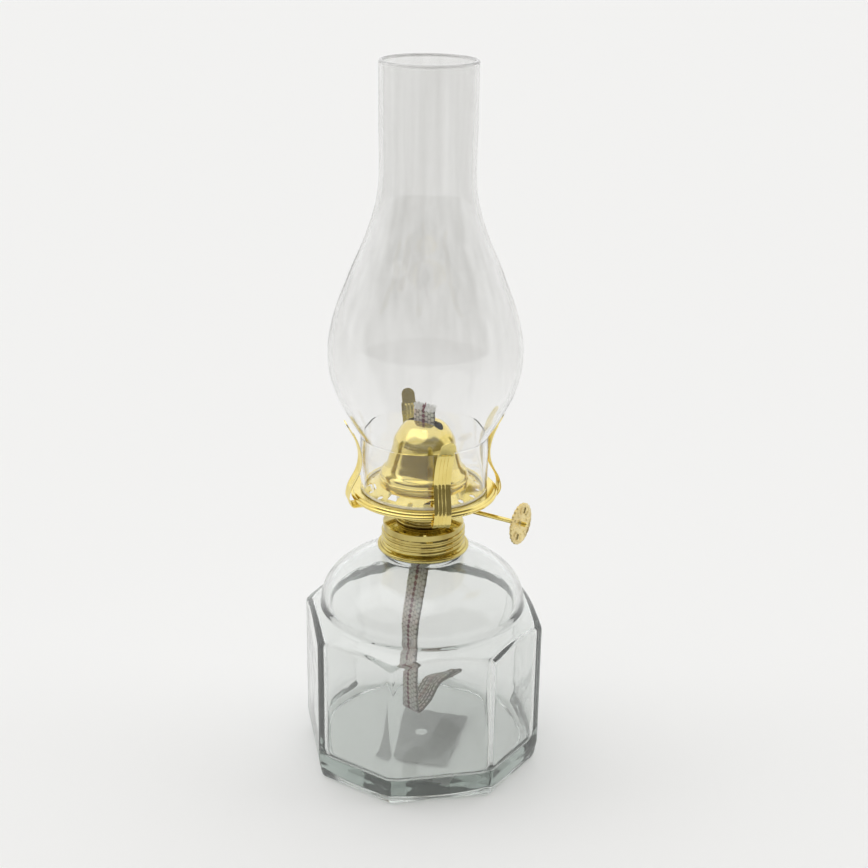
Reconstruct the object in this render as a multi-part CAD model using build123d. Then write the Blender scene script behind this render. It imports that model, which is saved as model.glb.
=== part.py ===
from build123d import *
import os
from math import acos, cos, degrees, radians, sin

# Oil lamp with an eight-sided glass font, a brass flat-wick burner and a bellied chimney.
# Millimetres. Origin at the centre of the base, +Z up, +X along the wick winder's spindle.

# Font: the glass oil reservoir
FONT_RADIUS = 60.0          # to the corners, at the heel ridge
FONT_FOOT_RADIUS = 58.3     # to the corners, where it stands
FONT_TURN = -2.9            # direction of the middle of a narrow face, degrees
NARROW_FACE = 41.2          # angle that a narrow face takes, degrees
FONT_CORNER = 2.5
HEEL_HEIGHT = 10.0
SHOULDER_RADIUS = 49.5
SHOULDER_HEIGHT = 80.4
SHOULDER_SLOPE = 0.7        # fall per millimetre outside the dome
DOME_BASE = 82.0
DOME_RISE = 27.0
NECK_RADIUS = 18.6
NECK_TOP = 122.0
BORE_RADIUS = 15.0
GLASS_WALL = 4.0
FLOOR_HEIGHT = 10.0
PUSH_UP_RADIUS = 48.0
PUSH_UP_DEPTH = 1.5
ROOM_INSET = 5.0            # from the outer corners to the corners of the hollow
ROOM_CORNER = 9.0
ROOM_FLOOR_CORNER = 5.0
LABEL_SIZE = (48.0, 34.0, 0.12)
LABEL_TURN = 107.0
LABEL_PLACE = (3.4, -2.6)

# Screw thread between neck and cap
PITCH = 2.7
NECK_THREAD_START = 114.2
NECK_THREAD_TURNS = 1.5
CAP_THREAD_TURNS = 3.3
SKIRT_RADIUS = 18.95        # inside of the cap's skirt, between its grooves
SKIRT_WALL = 0.45
SKIRT_FOOT = 112.0
THREAD_SHIFT = 2 * PITCH    # how far below the neck's ridge the cap's groove starts
SEAL_SIZE = (15.3, 18.3, 0.75)  # inner and outer radius, thickness
SEAL_GAP = 0.05

# Burner, pressed from sheet brass
GAUGE = 0.5
CAP_TOP = 124.3
CAP_HOLE_RADIUS = 9.5
DRUM_RADIUS = 13.0
DRUM_TOP = 137.0
DECK_TOP = 144.0            # where the cone stands
DECK_RADIUS = 21.6
LEDGE_TOP = 140.85          # where the chimney stands
LEDGE_RADIUS = 28.6
RIM_RADIUS = 35.05
RIM_HEIGHT = 138.9
CONE_RADIUS = 20.8
CONE_TOP = 173.8
CONE_WALL = 0.45
CONE_SLOT = (19.6, 5.0)
AIR_PLATE_RADIUS = 20.0
AIR_HOLE_RADIUS = 0.9
AIR_HOLE_RINGS = ((17.6, 28), (13.8, 22), (10.0, 14))   # ring radius and number of holes
GALLERY_HOLE_RING = 26.0
GALLERY_HOLE_RADIUS = 1.3
BIG_HOLE_RADIUS = 2.3
BIG_HOLE_ANGLES = (126, 306)
LATCH_HOLE = (3.6, 5.0)
LATCH_HOLE_ANGLES = (86, 266)   # the ring of round holes leaves a gap here
PRONG_SLOT = (2.2, 6.8)

# Wick and winder
WICK_WIDTH = 11.1
WICK_GAUGE = 2.4
WICK_TOP = 182.0
TUBE_WALL = 0.35
TUBE_BOTTOM = 119.0
TUBE_TOP = 170.5
TUBE_SPARE = 0.4            # room round the wick in its tube
TUBE_CORNER = 0.6
SPROCKET_WINDOW = (1.8, 2.3, 7.0)
VENT_Y = -6.3
VENT_RADIUS = 1.4
VENT_WALL = 0.3
VENT_BOTTOM = 121.5
VENT_HEIGHT = 22.0
SHAFT_Y = 5.3
SHAFT_Z = 131.3
SHAFT_RADIUS = 1.1
SHAFT_START = -13.6
SHAFT_HEAD = (1.6, 0.8)     # radius and length of the riveted end
SHAFT_COLLAR = (1.9, 1.2)   # against the back of the knob
BUSH_X = 11.6
BUSH_RADIUS = 1.7
BUSH_LENGTH = 2.4
FLANGE = (2.3, 0.4)
RUNNING_GAP = 0.05
KNOB_X = 49.2
KNOB_RADIUS = 10.0
KNOB_GAUGE = 1.2
KNOB_LOBES = 22
KNOB_RIBS = 12
KNOB_BOSS = (2.4, 1.0)
SPROCKET_RADIUS = 4.0
SPROCKET_ROOT = 3.0
SPROCKET_GAUGE = 0.8
SPROCKET_TEETH = 12
SPROCKET_X = 3.2

# Chimney and its spring prongs
CHIMNEY_BASE = 140.9
CHIMNEY_BASE_RADIUS = 30.2
CHIMNEY_CREASE = 168.0
CHIMNEY_TOP = 340.0
CHIMNEY_TOP_RADIUS = 22.0
CHIMNEY_WALL = 1.8
PRONG_WIDTH = 8.0
PRONG_GAUGE = 0.55
PRONG_TIP = 177.0
PRONG_TONGUE_HALF = 3.4     # half width near the tip
PRONG_TONGUE_LENGTH = 7.5
PRONG_TAB_HALF = 3.0        # half width where it is held in its slot
PRONG_ANGLES = (45, 135, 225, 315)


def turned(*lines):
    """A solid turned about the lamp's axis from closed lines given as radius and height."""
    return revolve(Plane.XZ * make_face(Curve() + list(lines)), Axis.Z)


def strip(line, gauge, side=Side.LEFT):
    """A flat band of one gauge laid on one side of a line."""
    return make_face(offset(line, gauge, side=side).edges())


def spun(line, gauge=GAUGE):
    """A sheet part spun about the lamp's axis; the gauge lies to the left of the line."""
    return revolve(Plane.XZ * strip(line, gauge), Axis.Z)


def bead(radius, height, tube):
    """A rolled ring of round wire."""
    return Pos(0, 0, height) * Torus(radius, tube)


def curve_inside(outer, gauge, samples):
    """The same curve one gauge further in, on its left-hand side."""
    places = [i / samples for i in range(samples + 1)]
    return Spline(*[(outer @ t) + (outer % t).rotate(Axis.Z, 90) * gauge for t in places])


def thread(radius, start, turns, outline):
    """A helical rib; outline is its section as steps outwards and upwards from radius."""
    path = Pos(0, 0, start) * Helix(PITCH, PITCH * turns, radius)
    section = Plane(path @ 0, x_dir=(1, 0, 0), z_dir=path % 0)
    return sweep(section * make_face(Polyline(*outline, close=True)), path, is_frenet=True)


def octagon(radius, corner):
    """Eight-sided outline whose faces take two widths in turn, with rounded corners."""
    half = NARROW_FACE / 2
    angles = [FONT_TURN + 90 * quarter + side * half for quarter in range(4) for side in (-1, 1)]
    points = [(radius * cos(radians(a)), radius * sin(radians(a))) for a in angles]
    outline = make_face(Polyline(*points, close=True))
    return fillet(outline.vertices(), corner)


def shoulder_height(radius):
    """Height of the sloping shoulder outside the dome."""
    return SHOULDER_HEIGHT - SHOULDER_SLOPE * (radius - SHOULDER_RADIUS)


def font_envelope(inset, neck, base, top):
    """Shoulder, dome and neck as one turned solid, one inset inside the outer surface."""
    wide = FONT_RADIUS + 5
    dome = SHOULDER_RADIUS - inset
    sweep_angle = degrees(acos(neck / dome))
    arc = EllipticalCenterArc((0, DOME_BASE), dome, DOME_RISE - inset, arc_size=sweep_angle)
    foot = Polyline(
        (0, top),
        (0, base),
        (wide, base),
        (wide, shoulder_height(wide) - inset),
        (dome, shoulder_height(SHOULDER_RADIUS) - inset),
        arc @ 0,
    )
    return turned(foot, arc, Polyline(arc @ 1, (neck, top), (0, top)))


def make_font():
    heel = loft([octagon(FONT_FOOT_RADIUS, FONT_CORNER),
                 Pos(0, 0, HEEL_HEIGHT) * octagon(FONT_RADIUS, FONT_CORNER)], ruled=True)
    walls = extrude(Pos(0, 0, HEEL_HEIGHT) * octagon(FONT_RADIUS, FONT_CORNER), NECK_TOP)
    outside = (heel + walls) & font_envelope(0, NECK_RADIUS, 0, NECK_TOP)
    room = extrude(Pos(0, 0, FLOOR_HEIGHT) * octagon(FONT_RADIUS - ROOM_INSET, ROOM_CORNER), NECK_TOP)
    room = fillet(room.faces().sort_by(Axis.Z)[0].edges(), ROOM_FLOOR_CORNER)
    room = room & font_envelope(GLASS_WALL, BORE_RADIUS, FLOOR_HEIGHT, NECK_TOP + 1)
    push_up = Pos(0, 0, PUSH_UP_DEPTH / 2) * Cone(PUSH_UP_RADIUS + 1, PUSH_UP_RADIUS, PUSH_UP_DEPTH)
    ridge = thread(NECK_RADIUS, NECK_THREAD_START, NECK_THREAD_TURNS,
                   ((-0.5, -0.75), (0, -0.75), (0.7, -0.35), (0.7, 0.35), (0, 0.75), (-0.5, 0.75)))
    return outside - room - push_up + ridge


def make_label():
    length, width, gauge = LABEL_SIZE
    sheet = Pos(*LABEL_PLACE, PUSH_UP_DEPTH - gauge / 2) * Rot(0, 0, LABEL_TURN)
    return sheet * Box(length, width, gauge)


def make_seal():
    inner, outer, gauge = SEAL_SIZE
    ring = Cylinder(outer, gauge) - Cylinder(inner, gauge)
    return Pos(0, 0, NECK_TOP + SEAL_GAP + gauge / 2) * ring


def make_cap():
    """Pressed cap with a rolled foot: a rib outside and a groove inside form its thread."""
    skirt_outer = SKIRT_RADIUS + SKIRT_WALL
    outside = Polyline((skirt_outer, SKIRT_FOOT), (skirt_outer, 122.9), (18.9, 123.4),
                       (DRUM_RADIUS + 0.3, CAP_TOP - 0.1), (DRUM_RADIUS, CAP_TOP),
                       (CAP_HOLE_RADIUS, CAP_TOP))
    inside = Polyline((CAP_HOLE_RADIUS, CAP_TOP), (CAP_HOLE_RADIUS, CAP_TOP - GAUGE),
                      (DRUM_RADIUS, CAP_TOP - GAUGE), (18.5, 122.95), (SKIRT_RADIUS, 122.7),
                      (SKIRT_RADIUS, SKIRT_FOOT), (skirt_outer, SKIRT_FOOT))
    shell = turned(outside, inside)
    web = turned(Polyline((SKIRT_RADIUS, 112.4), (skirt_outer, 112.4), (21.4, 111.2),
                          (20.6, 110.6), (SKIRT_RADIUS + 0.4, 111.6), (SKIRT_RADIUS, 112.4)))
    start = NECK_THREAD_START - THREAD_SHIFT / 2
    rib = thread(SKIRT_RADIUS + 0.3, start, CAP_THREAD_TURNS,
                 ((0, -1.05), (0.5, -0.8), (0.85, -0.3), (0.85, 0.3), (0.5, 0.8), (0, 1.05)))
    groove = thread(SKIRT_RADIUS - 0.1, NECK_THREAD_START - THREAD_SHIFT, CAP_THREAD_TURNS + 1.2,
                    ((0, -1.05), (0.1, -1.0), (0.65, -0.6), (0.65, 0.6), (0.1, 1.0), (0, 1.05)))
    return shell + web + rib + bead(21.0, 110.8, 1.1) - groove


def make_drum():
    line = FilletPolyline((DRUM_RADIUS, CAP_TOP), (DRUM_RADIUS, DRUM_TOP), (18.6, DECK_TOP - 2 * GAUGE),
                          (21.0, DECK_TOP - 2 * GAUGE), radius=1.5)
    drum = spun(line)
    drum += bead(DRUM_RADIUS + 0.1, CAP_TOP + 0.9, 0.6)
    drum += bead(DRUM_RADIUS, CAP_TOP + 2.6, 0.5)
    bush_hole = Pos(0, SHAFT_Y, SHAFT_Z) * Rot(0, 90, 0) * Cylinder(BUSH_RADIUS, 4 * DRUM_RADIUS)
    return drum - bush_hole


def flat_tube_outline(grow):
    """Outline of the wick tube, grown from the wick's own section."""
    return Rectangle(WICK_WIDTH + 2 * grow, WICK_GAUGE + 2 * grow)


def flat_tube_bar(height):
    """The outer shape of the wick tube as a solid bar."""
    bar = extrude(flat_tube_outline(TUBE_SPARE + TUBE_WALL), height)
    return fillet(bar.edges().filter_by(Axis.Z), TUBE_CORNER)


def make_tube():
    height = TUBE_TOP - TUBE_BOTTOM
    tube = flat_tube_bar(height) - extrude(flat_tube_outline(TUBE_SPARE), height)
    tube = Pos(0, 0, TUBE_BOTTOM) * tube
    for x in (-SPROCKET_X, SPROCKET_X):
        tube -= Pos(x, WICK_GAUGE, SHAFT_Z) * Box(*SPROCKET_WINDOW)
    return tube


def make_vent():
    pipe = Cylinder(VENT_RADIUS, VENT_HEIGHT) - Cylinder(VENT_RADIUS - VENT_WALL, VENT_HEIGHT)
    return Pos(0, VENT_Y, VENT_BOTTOM + VENT_HEIGHT / 2) * pipe


def pierced(disc, centre_z):
    """A disc with the holes that the wick tube and the vent tube stand in."""
    through = 4.0
    disc -= Pos(0, 0, centre_z - through / 2) * flat_tube_bar(through)
    return disc - Pos(0, VENT_Y, centre_z) * Cylinder(VENT_RADIUS, through)


def make_tube_plate():
    middle = CAP_TOP + GAUGE / 2
    return pierced(Pos(0, 0, middle) * Cylinder(DRUM_RADIUS - GAUGE, GAUGE), middle)


def make_air_plate():
    middle = DECK_TOP - GAUGE / 2
    plate = pierced(Pos(0, 0, middle) * Cylinder(AIR_PLATE_RADIUS, GAUGE), middle)
    for radius, count in AIR_HOLE_RINGS:
        holes = PolarLocations(radius, count, start_angle=180 / count)
        plate -= Pos(0, 0, middle) * holes * Cylinder(AIR_HOLE_RADIUS, 4 * GAUGE)
    return plate


def make_gallery():
    top = FilletPolyline((RIM_RADIUS - 1.0, RIM_HEIGHT + 0.6), (RIM_RADIUS - 1.5, LEDGE_TOP),
                         (LEDGE_RADIUS, LEDGE_TOP), (DECK_RADIUS, DECK_TOP), (20.2, DECK_TOP),
                         radius=0.8)
    plate = spun(top) + bead(RIM_RADIUS - 1.0, RIM_HEIGHT, 1.0)
    through = 12.0
    for angle in range(0, 360, 18):
        if angle in (90, 270):
            continue
        size = BIG_HOLE_RADIUS if angle in BIG_HOLE_ANGLES else GALLERY_HOLE_RADIUS
        plate -= Rot(0, 0, angle) * Pos(GALLERY_HOLE_RING, 0, LEDGE_TOP) * Cylinder(size, through)
    for angle in LATCH_HOLE_ANGLES:
        plate -= Rot(0, 0, angle) * Pos(23.6, 0, LEDGE_TOP) * Box(*LATCH_HOLE, through)
    for angle in PRONG_ANGLES:
        plate -= Rot(0, 0, angle) * Pos(24.3, 0, LEDGE_TOP) * Box(*PRONG_SLOT, through)
    return plate


def make_cone():
    """Domed cone with a neck, a slot for the flame across its top and a bead at its foot."""
    skirt = Spline((CONE_RADIUS, DECK_TOP + 4.0), (18.6, 151.5), (16.8, 156.4), (15.3, 161.2),
                   tangents=((0, 1), (-0.25, 1)))
    crown = Spline((14.9, 162.8), (13.9, 167.0), (10.0, 171.7), (0, CONE_TOP),
                   tangents=((-0.1, 1), (-1, 0)))
    outer = [Line((CONE_RADIUS, DECK_TOP), skirt @ 0), skirt, Line(skirt @ 1, crown @ 0), crown]
    skirt_inside = curve_inside(skirt, CONE_WALL, 8)
    crown_inside = curve_inside(crown, CONE_WALL, 8)
    under_top = (0, CONE_TOP - CONE_WALL)
    inner_foot = (CONE_RADIUS - CONE_WALL, DECK_TOP)
    inner = [Line(inner_foot, skirt_inside @ 0), skirt_inside,
             Line(skirt_inside @ 1, crown_inside @ 0), crown_inside]
    closing = [Line((CONE_RADIUS, DECK_TOP), inner_foot), Line((0, CONE_TOP), under_top)]
    cone = turned(*outer, *inner, *closing)
    cone += bead(CONE_RADIUS - 0.2, DECK_TOP + 2.8, 0.75)
    length, width = CONE_SLOT
    return cone - Pos(0, 0, CONE_TOP) * extrude(SlotOverall(length, width), 8, both=True)


def make_bush(x):
    """Flanged bearing in the drum's wall, with its flange outside."""
    flange_radius, flange_gauge = FLANGE
    body = Cylinder(BUSH_RADIUS, BUSH_LENGTH)
    body += Pos(0, 0, (BUSH_LENGTH + flange_gauge) / 2) * Cylinder(flange_radius, flange_gauge)
    body -= Cylinder(SHAFT_RADIUS + RUNNING_GAP, 2 * BUSH_LENGTH)
    turn = 90 if x > 0 else -90
    return Pos(x, SHAFT_Y, SHAFT_Z) * Rot(0, turn, 0) * body


def along_shaft(x, shape):
    """Put a shape made about +Z on the spindle, with its +Z along +X."""
    return Pos(x, SHAFT_Y, SHAFT_Z) * Rot(0, 90, 0) * shape


def make_shaft():
    end = KNOB_X + KNOB_GAUGE + 2.8
    length = end - SHAFT_START
    rod = along_shaft(SHAFT_START + length / 2, Cylinder(SHAFT_RADIUS, length))
    rod = chamfer(rod.faces().sort_by(Axis.X)[-1].edges(), 0.3)
    head = along_shaft(SHAFT_START - SHAFT_HEAD[1] / 2, Cylinder(*SHAFT_HEAD))
    collar = along_shaft(KNOB_X - SHAFT_COLLAR[1] / 2, Cylinder(*SHAFT_COLLAR))
    return rod + head + collar


def make_knob():
    """Thin disc with a scalloped edge, raised ribs to grip and a boss round the spindle."""
    outline = Circle(KNOB_RADIUS - 0.6) + PolarLocations(KNOB_RADIUS - 1.0, KNOB_LOBES) * Circle(1.0)
    disc = extrude(outline, KNOB_GAUGE)
    ribs = Pos(0, 0, KNOB_GAUGE) * PolarLocations(6.4, KNOB_RIBS) * Box(3.0, 0.8, 0.8)
    boss = Pos(0, 0, KNOB_GAUGE) * Cylinder(*KNOB_BOSS)
    bore = Cylinder(SHAFT_RADIUS, 12)
    return along_shaft(KNOB_X, disc + ribs + boss - bore)


def make_sprocket(x):
    """Toothed wheel whose points bite into the wick through the tube's window."""
    outline = Circle(SPROCKET_ROOT)
    tooth_foot = SPROCKET_ROOT - 0.2
    for step in range(SPROCKET_TEETH):
        point = Polyline((tooth_foot, -0.75), (SPROCKET_RADIUS, 0), (tooth_foot, 0.75), close=True)
        outline += Rot(0, 0, 360 / SPROCKET_TEETH * step) * make_face(point)
    wheel = Pos(0, 0, -SPROCKET_GAUGE / 2) * extrude(outline, SPROCKET_GAUGE)
    return along_shaft(x, wheel - Cylinder(SHAFT_RADIUS, 2))


def make_wick():
    """Flat strip: up the tube, and at the foot a bend and a short tail lying back."""
    centre = FilletPolyline((0, WICK_TOP), (0, 108), (-11, 72), (-11.8, 42), (-11.2, 24.5),
                            (1, 27), (10, 31.5), (20, 30), (31, 25),
                            radius=[25, 40, 60, 3.6, 20, 8, 15])
    half = WICK_GAUGE / 2
    section = strip(centre, half, Side.LEFT) + strip(centre, half, Side.RIGHT)
    return extrude(Plane.YZ * section, WICK_WIDTH / 2, both=True)


def make_prong():
    """One spring strip at the +X side, seen from the side as radius and height."""
    line = FilletPolyline((24.6, 143.2), (24.6, 138.6), (27.0, 134.7), (35.0, 134.4),
                          (37.0, 137.6), (36.3, 143.0), (29.3, 155.0), (32.6, 167.0),
                          (38.1, PRONG_TIP), radius=[1.5, 2, 1.8, 5, 16, 20, 26])
    side_view = Plane.XZ * strip(line, PRONG_GAUGE, Side.RIGHT)
    band = extrude(side_view, PRONG_WIDTH / 2, both=True)
    neck = PRONG_TIP - PRONG_TONGUE_LENGTH
    body_half, tongue_half = PRONG_WIDTH / 2, PRONG_TONGUE_HALF
    front = make_face(Polyline((-body_half, 130), (body_half, 130), (body_half, neck),
                               (tongue_half, neck + 0.8), (tongue_half, PRONG_TIP - tongue_half),
                               (-tongue_half, PRONG_TIP - tongue_half),
                               (-tongue_half, neck + 0.8), (-body_half, neck), close=True))
    front += Pos(0, PRONG_TIP - tongue_half) * Circle(tongue_half)
    band = band & extrude(Plane.YZ * front, 60)
    outside_slot = Pos(45, 0, 155) * Box(30, 20, 80)
    keep = outside_slot + Pos(22, 0, 140) * Box(16.2, 2 * PRONG_TAB_HALF, 30)
    return band & keep


def make_chimney():
    belly = Spline((CHIMNEY_BASE_RADIUS, CHIMNEY_CREASE), (36.7, 179.2), (42.6, 192), (45.15, 207),
                   (43.3, 222), (35.6, 244), (26.6, 266), (22.4, 282), (21.7, 296),
                   (CHIMNEY_TOP_RADIUS, 312), tangents=((0.55, 1), (0, 1)))
    lining = curve_inside(belly, CHIMNEY_WALL, 24)
    base_in = CHIMNEY_BASE_RADIUS - CHIMNEY_WALL
    top_in = CHIMNEY_TOP_RADIUS - CHIMNEY_WALL
    lines = [Polyline(lining @ 0, (base_in, CHIMNEY_CREASE + 0.6), (base_in, CHIMNEY_BASE),
                      (CHIMNEY_BASE_RADIUS, CHIMNEY_BASE), belly @ 0),
             belly,
             Polyline(belly @ 1, (CHIMNEY_TOP_RADIUS, CHIMNEY_TOP), (top_in, CHIMNEY_TOP), lining @ 1),
             lining]
    glass = turned(*lines)
    rims = glass.faces().filter_by(GeomType.PLANE).edges()
    return fillet(rims, 0.7)


parts = {
    "font_glass": make_font(),
    "base_label": make_label(),
    "seal_ring": make_seal(),
    "screw_cap": make_cap(),
    "burner_drum": make_drum(),
    "tube_plate": make_tube_plate(),
    "wick_tube": make_tube(),
    "vent_tube": make_vent(),
    "air_plate": make_air_plate(),
    "gallery_plate": make_gallery(),
    "cone": make_cone(),
    "bush_outer": make_bush(BUSH_X),
    "bush_inner": make_bush(-BUSH_X),
    "winder_shaft": make_shaft(),
    "winder_knob": make_knob(),
    "sprocket_1": make_sprocket(-SPROCKET_X),
    "sprocket_2": make_sprocket(SPROCKET_X),
    "wick": make_wick(),
    "chimney": make_chimney(),
}
for number, angle in enumerate(PRONG_ANGLES, start=1):
    parts[f"prong_{number}"] = Rot(0, 0, angle) * make_prong()

os.makedirs("parts", exist_ok=True)
for name, shape in parts.items():
    export_step(shape, f"parts/{name}.step")
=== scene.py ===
import math
import random

import bmesh
import bpy
from mathutils import Matrix, Vector, noise


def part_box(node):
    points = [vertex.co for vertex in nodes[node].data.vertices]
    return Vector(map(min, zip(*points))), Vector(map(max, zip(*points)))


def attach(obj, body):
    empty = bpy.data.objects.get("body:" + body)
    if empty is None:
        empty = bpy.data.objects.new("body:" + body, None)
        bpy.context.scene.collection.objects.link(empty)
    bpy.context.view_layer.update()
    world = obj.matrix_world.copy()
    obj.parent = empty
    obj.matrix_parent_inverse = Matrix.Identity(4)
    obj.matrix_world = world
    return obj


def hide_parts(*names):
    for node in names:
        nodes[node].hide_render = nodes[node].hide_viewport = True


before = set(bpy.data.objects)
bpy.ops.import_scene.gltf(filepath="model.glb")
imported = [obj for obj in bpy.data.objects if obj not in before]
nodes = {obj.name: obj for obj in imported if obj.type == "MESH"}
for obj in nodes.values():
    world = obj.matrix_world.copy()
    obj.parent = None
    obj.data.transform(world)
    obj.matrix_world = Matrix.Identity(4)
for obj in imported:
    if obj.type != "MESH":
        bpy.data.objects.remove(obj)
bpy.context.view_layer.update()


# ---- Studio ----------------------------------------------------------------------------------
# A pale seamless floor under soft light from above, with a darker side behind the camera that
# gives the polished brass its brown bands.

MM = 0.001
LENS = 63.6                       # millimetres on a 36 mm sensor
CAMERA_AZIMUTH = math.radians(31.4)
CAMERA_DISTANCE = 0.6746
CAMERA_HEIGHT = 0.42446
CAMERA_PITCH = math.radians(20.87)
CAMERA_YAW = math.radians(0.38)
CAMERA_ROLL = math.radians(0.88)
FLOOR_COLOUR = (0.91, 0.91, 0.905, 1)
BACKDROP_COLOUR = (0.86, 0.86, 0.86, 1)
DARK_SIDE_COLOUR = (0.17, 0.16, 0.14, 1)
ROOM_STRENGTH = 1.07
LAMP_STRENGTH = 0.7
LAMP_SPREAD = math.radians(70)    # a wide lamp gives the soft shadow

bpy.ops.object.camera_add()
camera = bpy.context.object
camera.name = "studio_camera"
camera.data.lens = LENS
camera.data.clip_start = 0.01
camera.data.clip_end = 50
camera.matrix_world = (
    Matrix.Rotation(CAMERA_AZIMUTH, 4, "Z")
    @ Matrix.Translation((0, -CAMERA_DISTANCE, CAMERA_HEIGHT))
    @ Matrix.Rotation(-CAMERA_YAW, 4, "Z")
    @ Matrix.Rotation(math.pi / 2 - CAMERA_PITCH, 4, "X")
    @ Matrix.Rotation(CAMERA_ROLL, 4, "Z")
)
bpy.context.scene.camera = camera
bpy.context.scene.view_settings.view_transform = "Standard"


def new_material(name):
    """A node material with its Principled shader, and a maker for more nodes in it."""
    material = bpy.data.materials.new(name)
    material.use_nodes = True
    shader = material.node_tree.nodes["Principled BSDF"]

    def add(kind, **values):
        node = material.node_tree.nodes.new(kind)
        for key, value in values.items():
            if hasattr(node, key):
                setattr(node, key, value)
            else:
                node.inputs[key.replace("_", " ")].default_value = value
        return node

    return material, shader, add, material.node_tree.links.new


floor_material, floor_shader, add, link = new_material("studio_floor")
floor_shader.inputs["Base Color"].default_value = FLOOR_COLOUR
floor_shader.inputs["Roughness"].default_value = 0.9
floor_shader.inputs["Specular IOR Level"].default_value = 0.1
bpy.ops.mesh.primitive_plane_add(size=24, location=(0, 0, -0.2 * MM))
floor = bpy.context.object
floor.name = "studio_floor"
floor.data.materials.append(floor_material)

world = bpy.data.worlds.new("studio_world")
bpy.context.scene.world = world
world.use_nodes = True
world_nodes = world.node_tree.nodes
world_link = world.node_tree.links.new
background = world_nodes["Background"]
direction = world_nodes.new("ShaderNodeTexCoord")
toward_camera = world_nodes.new("ShaderNodeVectorMath")
toward_camera.operation = "DOT_PRODUCT"
toward_camera.inputs[1].default_value = (math.sin(CAMERA_AZIMUTH), -math.cos(CAMERA_AZIMUTH), 0)
world_link(direction.outputs["Generated"], toward_camera.inputs[0])
level = world_nodes.new("ShaderNodeSeparateXYZ")
world_link(direction.outputs["Generated"], level.inputs["Vector"])


def world_ramp(source, low, high, first, last):
    """A grey ramp in the world, between two places of its input."""
    ramp = world_nodes.new("ShaderNodeValToRGB")
    for element, place, grey in zip(ramp.color_ramp.elements, (low, high), (first, last)):
        element.position = place
        element.color = (grey, grey, grey, 1)
    world_link(source, ramp.inputs["Fac"])
    return ramp.outputs["Color"]


near_side = world_ramp(toward_camera.outputs["Value"], 0.08, 0.24, 0.0, 1.0)
below_lamps = world_ramp(level.outputs["Z"], 0.84, 0.90, 1.0, 0.0)
dark_room = world_nodes.new("ShaderNodeMixRGB")
dark_room.blend_type = "MULTIPLY"
dark_room.inputs["Fac"].default_value = 1.0
world_link(near_side, dark_room.inputs["Color1"])
world_link(below_lamps, dark_room.inputs["Color2"])
room = world_nodes.new("ShaderNodeMixRGB")
room.inputs["Color1"].default_value = (1, 1, 1, 1)
room.inputs["Color2"].default_value = DARK_SIDE_COLOUR
world_link(dark_room.outputs["Color"], room.inputs["Fac"])
ray = world_nodes.new("ShaderNodeLightPath")
seen = world_nodes.new("ShaderNodeMixRGB")
seen.inputs["Color2"].default_value = BACKDROP_COLOUR
world_link(ray.outputs["Is Camera Ray"], seen.inputs["Fac"])
world_link(room.outputs["Color"], seen.inputs["Color1"])
world_link(seen.outputs["Color"], background.inputs["Color"])
background.inputs["Strength"].default_value = ROOM_STRENGTH

bpy.ops.object.light_add(type="SUN", rotation=(math.radians(24), math.radians(-16), 0))
sun = bpy.context.object
sun.data.energy = LAMP_STRENGTH
sun.data.angle = LAMP_SPREAD


# ---- Font --------------------------------------------------------------------------------------
# The oil reservoir, pressed in clear glass with a faint grey-green cast: eight flat sides of two
# widths, a shoulder, a dome and a threaded neck, with fire-polished edges. It is drawn ring by
# ring round its axis, from under the foot, over the outside and down the inside.

FONT_TURN = math.radians(-2.9)
NARROW_HALF = math.radians(20.6)
WIDE_HALF = math.radians(24.4)
FONT_RADIUS = 60.0 * MM
DOME_RADIUS = 49.5 * MM
NECK_RADIUS = 18.6 * MM
THREAD_PITCH = 2.7 * MM
THREAD_START = 114.2 * MM
OUTER_SHARPNESS = 190             # how sharp the eight corners are, outside and inside
INNER_SHARPNESS = 52
WALL_AT_CORNERS = 5 * MM
SURFACES_TO_CLOUD = 8             # light that has met more surfaces of glass than this is spent


def deselect_all():
    bpy.ops.object.select_all(action="DESELECT")


def drawn_in_rings(name, segments, rings, pole_start=False, pole_end=False, loop=False):
    """A shell extruded ring by ring; a ring gives radius and height for an angle."""
    deselect_all()
    bpy.ops.mesh.primitive_circle_add(vertices=segments, radius=1)
    piece = bpy.context.object
    piece.name = name
    bpy.ops.object.mode_set(mode="EDIT")

    def place(ring):
        mesh = bmesh.from_edit_mesh(piece.data)
        for vertex in mesh.verts:
            if vertex.select:
                angle = math.atan2(vertex.co.y, vertex.co.x)
                radius, height = ring(angle)
                vertex.co = (radius * math.cos(angle), radius * math.sin(angle), height)
        bmesh.update_edit_mesh(piece.data)

    bpy.ops.mesh.select_all(action="SELECT")
    place(rings[0])
    if pole_start:
        bpy.ops.mesh.extrude_region_move()
        place(lambda angle: (rings[0](angle)[0] * 0.5, rings[0](angle)[1]))
        bpy.ops.mesh.merge(type="CENTER")
        bpy.ops.mesh.select_all(action="DESELECT")
        mesh = bmesh.from_edit_mesh(piece.data)
        for edge in mesh.edges:
            if edge.is_boundary:
                edge.select_set(True)
        bmesh.update_edit_mesh(piece.data)
    for ring in rings[1:]:
        bpy.ops.mesh.extrude_region_move()
        place(ring)
    if pole_end:
        bpy.ops.mesh.extrude_region_move()
        bpy.ops.mesh.merge(type="CENTER")
    if loop:
        bpy.ops.mesh.extrude_region_move()
        place(rings[0])
    bpy.ops.mesh.select_all(action="SELECT")
    bpy.ops.mesh.remove_doubles(threshold=1e-6)
    bpy.ops.mesh.normals_make_consistent(inside=False)
    bpy.ops.object.mode_set(mode="OBJECT")
    return piece


def smooth(piece, degrees=30):
    deselect_all()
    piece.select_set(True)
    bpy.context.view_layer.objects.active = piece
    bpy.ops.object.shade_smooth_by_angle(angle=math.radians(degrees))


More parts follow.
